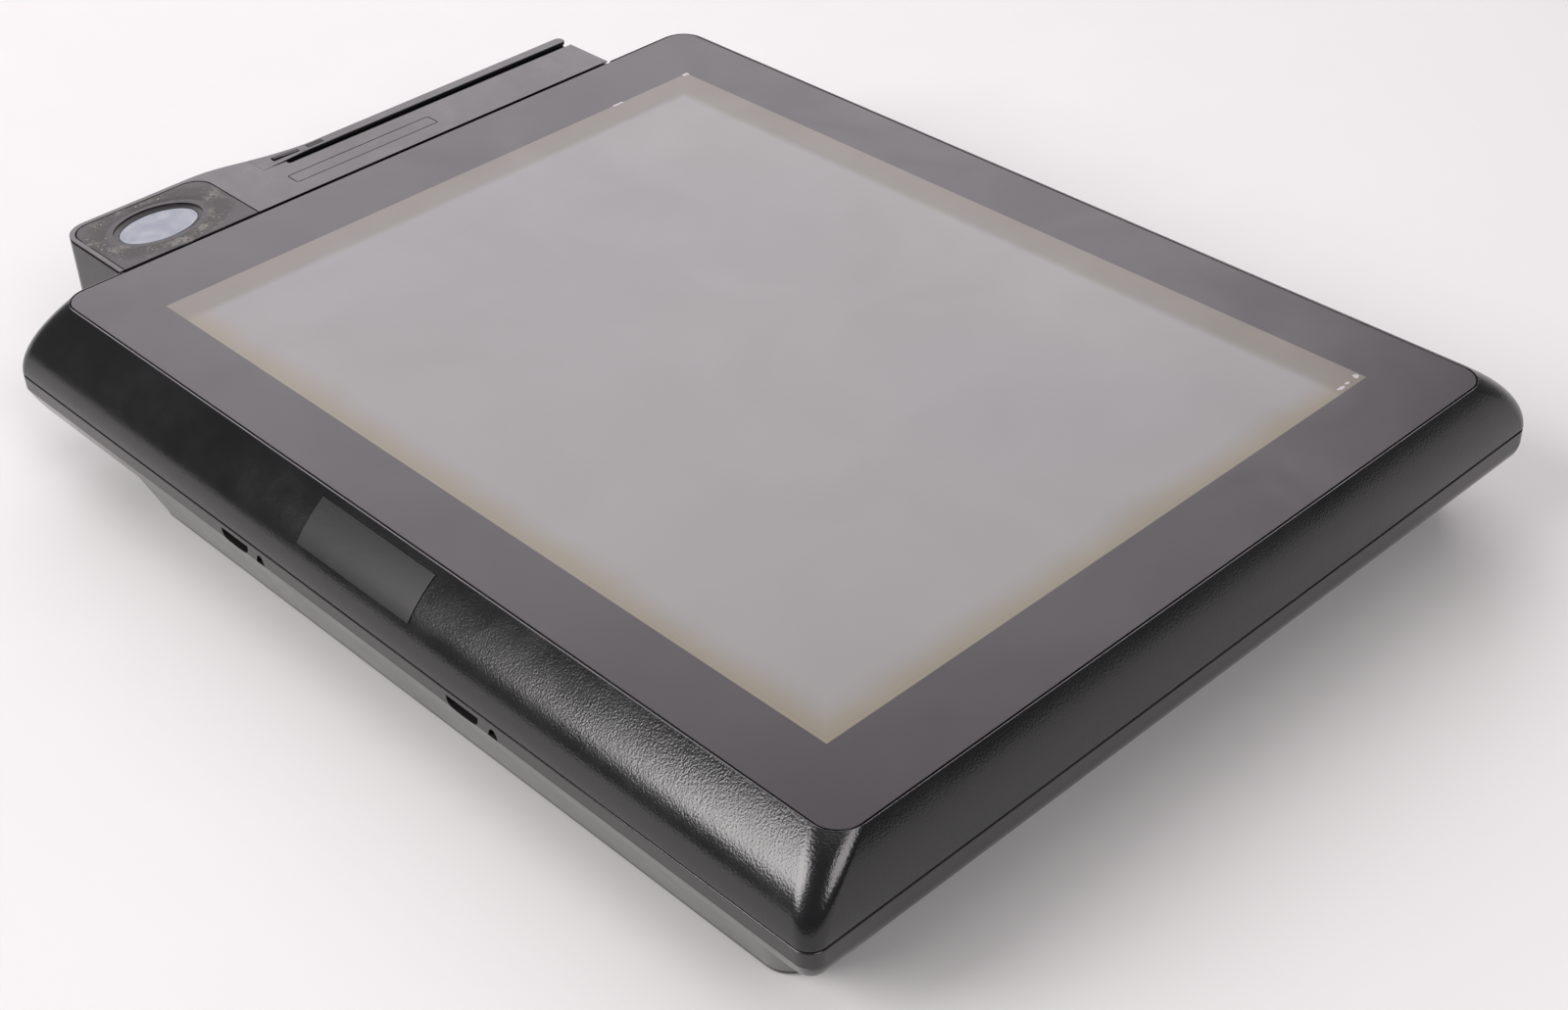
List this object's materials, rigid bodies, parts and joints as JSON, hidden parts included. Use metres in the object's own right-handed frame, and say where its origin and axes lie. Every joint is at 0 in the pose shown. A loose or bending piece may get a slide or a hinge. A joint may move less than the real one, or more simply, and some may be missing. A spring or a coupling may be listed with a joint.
{
  "type": "pos terminal",
  "caption": "Counter terminal head on its back: touch display in a rounded black case, deep rear housing, and a card reader with an oval finger scanner along one side.",
  "frame": {"origin": "on the surface it rests on, under the middle of its overall box", "axes": "+X along the screen's long side, away from the card reader; +Y along the short side, towards the sockets; +Z out of the screen, up as it lies on its back"},
  "size_m": [0.4054, 0.308, 0.056],
  "materials": {
    "black_abs": "satin moulded ABS, near black, fine spark texture",
    "touch_glass": "anti-glare coated touch glass over a grey switched-off panel",
    "panel_grey": "switched-off liquid crystal cell, plain grey",
    "light_guide_sheet": "white diffuser sheet",
    "foam_tape": "black foam tape",
    "plate_black": "bare black plate, semi-gloss",
    "zinc_steel": "zinc-plated sheet steel",
    "zinc_screw": "zinc-plated screw",
    "cast_aluminium": "plain aluminium",
    "circuit_board": "green solder mask",
    "black_moulding": "black moulded plastic",
    "battery_shell": "bright steel can",
    "scanner_glass": "pale grey-blue scanner window",
    "smoked_window": "smoked clear light guide",
    "spring_brass": "bronze leaf",
    "cable_jacket": "black cable jacket"
  },
  "bodies": {
    "head": {"backlight": "light_guide_sheet", "backlight_driver": "circuit_board", "board_screw_1": "zinc_screw", "board_screw_2": "zinc_screw", "board_screw_3": "zinc_screw", "board_screw_4": "zinc_screw", "button_board": "circuit_board", "case_screw_1": "zinc_screw", "case_screw_2": "zinc_screw", "case_screw_3": "zinc_screw", "case_screw_4": "zinc_screw", "chassis": "zinc_steel", "chassis_screw_1": "zinc_screw", "chassis_screw_2": "zinc_screw", "chassis_screw_3": "zinc_screw", "chassis_screw_4": "zinc_screw", "clock_battery": "battery_shell", "drawer_port": "black_moulding", "drive_backplane": "circuit_board", "driver_cable": "cable_jacket", "front_bezel": "black_abs", "glass_tape": "foam_tape", "guard_rail": "black_abs", "heat_sink": "cast_aluminium", "label_plate": "plate_black", "light_guide": "smoked_window", "mainboard": "circuit_board", "memory_module": "circuit_board", "module_cable": "cable_jacket", "module_case": "black_abs", "module_lid": "black_abs", "module_screw_1": "zinc_screw", "module_screw_2": "zinc_screw", "monitor_port": "zinc_steel", "mount_plate": "zinc_steel", "network_port": "zinc_steel", "panel_cell": "panel_grey", "panel_frame": "zinc_steel", "port_bracket": "zinc_steel", "power_inlet": "black_moulding", "processor": "black_moulding", "reader_board": "circuit_board", "reader_inlay": "plate_black", "rear_cover": "black_abs", "scanner_plate": "black_abs", "scanner_sensor": "black_moulding", "scanner_window": "scanner_glass", "serial_port": "zinc_steel", "slot_liner": "black_moulding", "speaker_left": "black_moulding", "speaker_right": "black_moulding", "touch_board": "circuit_board", "touch_glass": "touch_glass", "usb_ports": "zinc_steel"},
    "power_button": {"power_button": "black_abs"},
    "drive_tray": {"drive_tray": "black_abs", "drive": "cast_aluminium"},
    "cable_cover": {"cable_cover": "black_abs"},
    "read_head": {"read_head": "zinc_steel", "head_spring": "spring_brass"}
  },
  "joints": [
    {"name": "power_button_press", "type": "slide", "parent": "head", "child": "power_button", "axis": [0, 0, 1], "range_m": [0, 0.0012], "stiffness_N_per_m": 400, "springref_m": -0.001},
    {"name": "drive_tray_slide", "type": "slide", "parent": "head", "child": "drive_tray", "axis": [1, 0, 0], "range_m": [0, 0.09]},
    {"name": "cable_cover_slide", "type": "slide", "parent": "head", "child": "cable_cover", "axis": [0, 1, 0], "range_m": [0, 0.04]},
    {"name": "read_head_float", "type": "slide", "parent": "head", "child": "read_head", "axis": [1, 0, 0], "range_m": [0, 0.0008], "stiffness_N_per_m": 500, "springref_m": -0.001}
  ]
}
